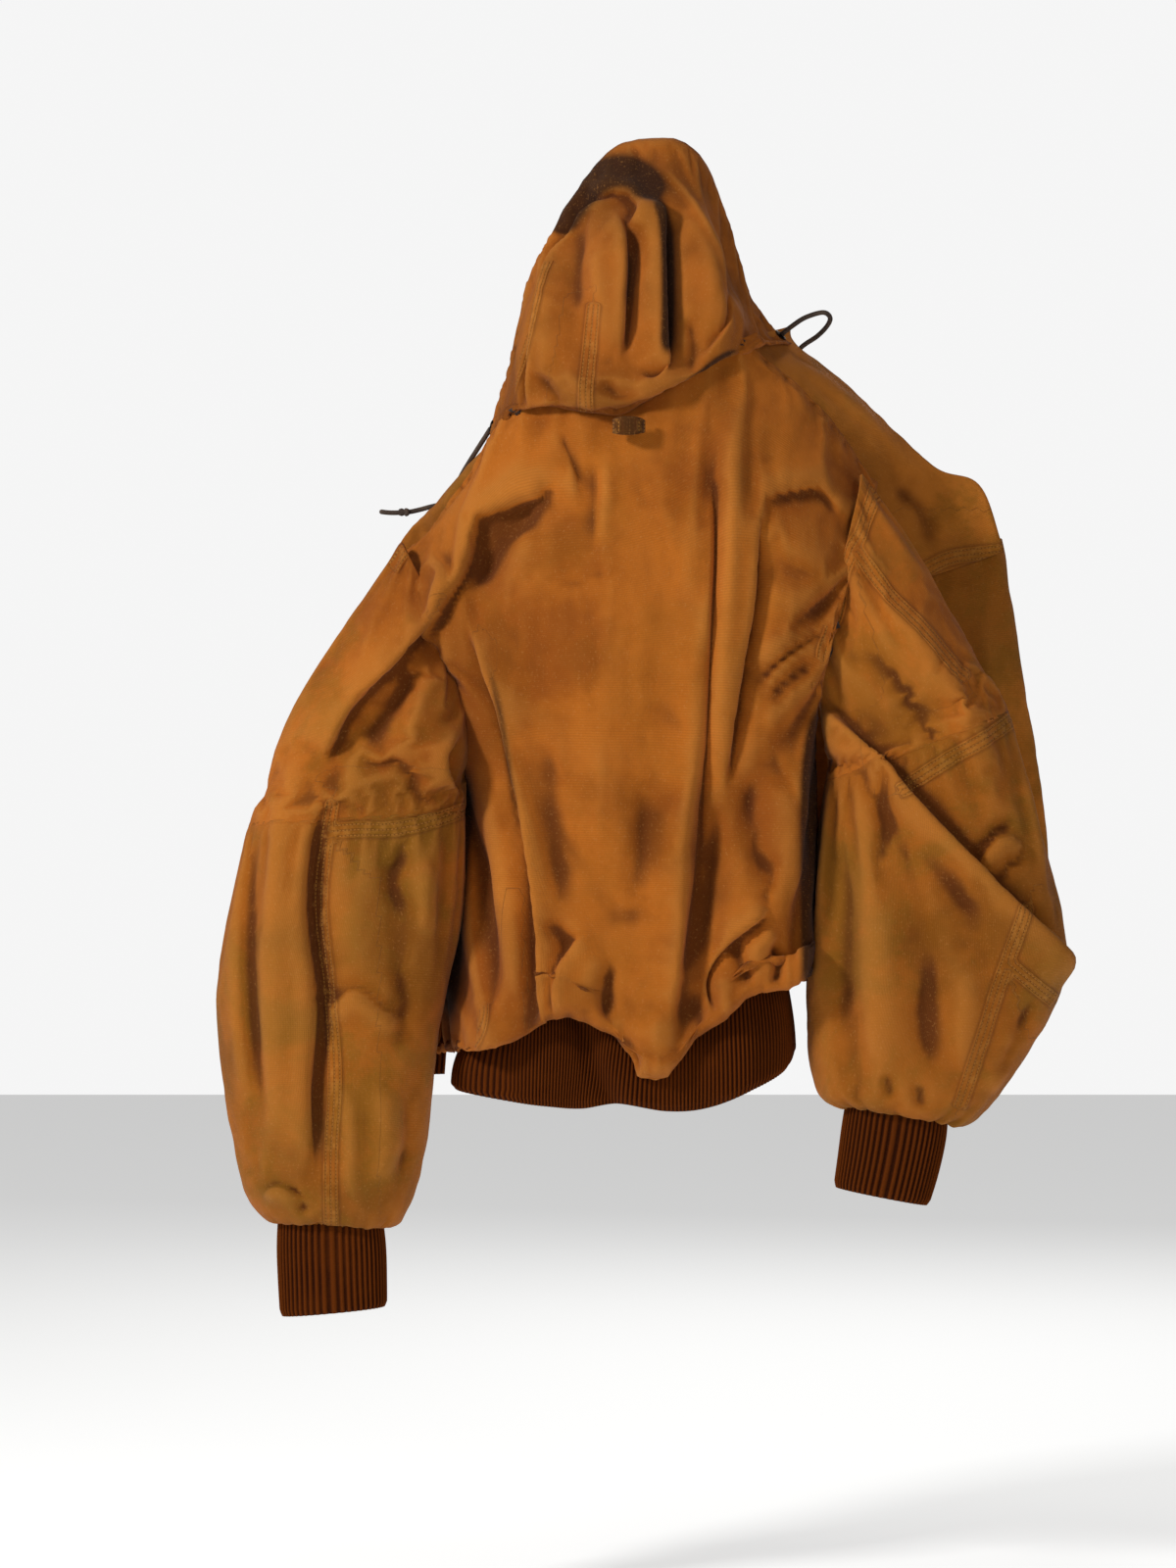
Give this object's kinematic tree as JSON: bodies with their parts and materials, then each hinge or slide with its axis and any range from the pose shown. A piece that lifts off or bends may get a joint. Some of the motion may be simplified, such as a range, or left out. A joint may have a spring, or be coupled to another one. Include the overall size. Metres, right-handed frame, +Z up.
{
  "type": "hooded work jacket",
  "caption": "Hooded canvas work jacket with rib-knit waistband and cuffs, hanging open by its hood's front hem, back outwards, with a drawcord and a front zip.",
  "frame": {"origin": "the middle of the hood's front hem, where it lies over a hook", "axes": "+Z up, +X towards the wearer's right, -Y the way the back of the jacket faces, +Y towards the wall it hangs on"},
  "size_m": [0.7797, 0.2242, 1.088],
  "materials": {
    "canvas": "washed cotton duck canvas, orange brown",
    "canvas_worn": "washed cotton duck canvas, a little darker",
    "canvas_dark": "washed cotton duck canvas, stained olive brown",
    "lining": "dark quilted lining",
    "rib": "dark brown rib knit",
    "tape": "woven zip tape",
    "cord": "braided cotton cord",
    "brass": "dull antique brass",
    "eyelet": "blackened metal, worn"
  },
  "bodies": {
    "torso": {"back_panel": "canvas", "back_lining": "lining", "waistband_back": "rib", "yoke_right": "canvas", "yoke_left": "canvas", "hanger_loop": "canvas_dark"},
    "hood": {"hood_casing": "canvas", "hood_panel_left": "canvas", "hood_panel_centre": "canvas", "hood_panel_right": "canvas", "hood_lining": "lining", "eyelet_left": "eyelet", "eyelet_right": "eyelet", "drawcord_left": "cord", "drawcord_left_tip": "cord", "drawcord_right": "cord", "cord_knot_left": "cord", "cord_knot_right": "cord"},
    "upper_arm_left": {"sleeve_upper_left": "canvas", "sleeve_upper_lining_left": "lining"},
    "forearm_left": {"sleeve_lower_left": "canvas_dark", "sleeve_lower_lining_left": "lining", "cuff_left": "rib"},
    "front_left": {"front_panel_left": "canvas_worn", "front_lining_left": "lining", "waistband_front_left": "rib", "pocket_left": "canvas_worn", "zip_tape_left": "tape", "zip_teeth_left": "brass"},
    "upper_arm_right": {"sleeve_upper_right": "canvas", "sleeve_upper_lining_right": "lining"},
    "forearm_right": {"sleeve_lower_right": "canvas_dark", "sleeve_lower_lining_right": "lining", "cuff_right": "rib"},
    "front_right": {"front_panel_right": "canvas_worn", "front_lining_right": "lining", "waistband_front_right": "rib", "pocket_right": "canvas_worn", "zip_tape_right": "tape", "zip_teeth_right": "brass"},
    "slider": {"zip_slider": "brass"},
    "pull": {"zip_pull": "brass"}
  },
  "joints": [
    {"name": "hood_fold", "type": "hinge", "parent": "torso", "child": "hood", "pos_m": [-0.03, -0.1, -0.222], "axis": [0.9696, 0, 0.2446], "range_deg": [0, 100]},
    {"name": "shoulder_left", "type": "hinge", "parent": "torso", "child": "upper_arm_left", "pos_m": [-0.243, -0.045, -0.378], "axis": [0, 1, 0], "range_deg": [0, 60]},
    {"name": "shoulder_right", "type": "hinge", "parent": "torso", "child": "upper_arm_right", "pos_m": [0.191, -0.048, -0.315], "axis": [0, -1, 0], "range_deg": [0, 60]},
    {"name": "elbow_left", "type": "hinge", "parent": "upper_arm_left", "child": "forearm_left", "pos_m": [-0.387, -0.045, -0.63], "axis": [0, 1, 0], "range_deg": [0, 30]},
    {"name": "elbow_right", "type": "hinge", "parent": "upper_arm_right", "child": "forearm_right", "pos_m": [0.317, -0.048, -0.528], "axis": [0, -1, 0], "range_deg": [0, 30]},
    {"name": "front_swing_left", "type": "hinge", "parent": "torso", "child": "front_left", "pos_m": [-0.19, 0.042, -0.6], "axis": [0, 0, -1], "range_deg": [0, 105]},
    {"name": "front_swing_right", "type": "hinge", "parent": "torso", "child": "front_right", "pos_m": [0.132, 0.042, -0.6], "axis": [0, 0, 1], "range_deg": [0, 105]},
    {"name": "zip_slide", "type": "slide", "parent": "front_right", "child": "slider", "axis": [0, 0, 1], "range_m": [0, 0.35]},
    {"name": "pull_swing", "type": "hinge", "parent": "slider", "child": "pull", "pos_m": [0.2822, 0.0966, -0.779], "axis": [1, 0, 0], "range_deg": [0, 110]}
  ]
}
